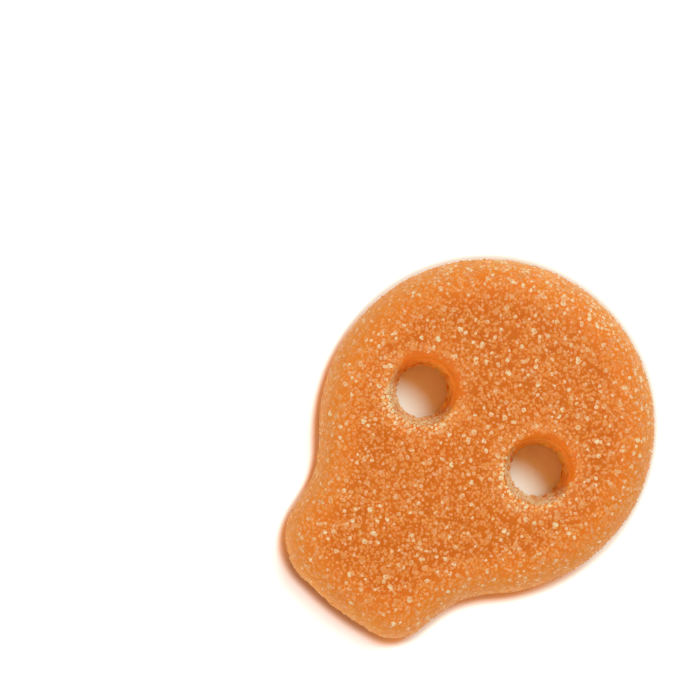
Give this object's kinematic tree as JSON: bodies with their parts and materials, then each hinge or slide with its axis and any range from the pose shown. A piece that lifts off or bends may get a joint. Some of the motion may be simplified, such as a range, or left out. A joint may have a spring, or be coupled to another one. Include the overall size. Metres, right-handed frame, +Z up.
{
  "type": "sour gummy skull",
  "caption": "Skull-shaped fruit jelly sweet with round eye holes right through it and a coat of sour sugar, lying face up on its flat back.",
  "frame": {"origin": "centre of the sweet's bounding box, on the flat back it lies on", "axes": "+X to the right across the eyes as the face is looked at, +Y from the jaw to the crown, +Z up out of the face"},
  "size_m": [0.0341, 0.0408, 0.0084],
  "materials": {
    "sugared_jelly": "matte sugar-dusted orange jelly"
  },
  "bodies": {
    "root": {"gummy_skull": "sugared_jelly"}
  },
  "joints": []
}
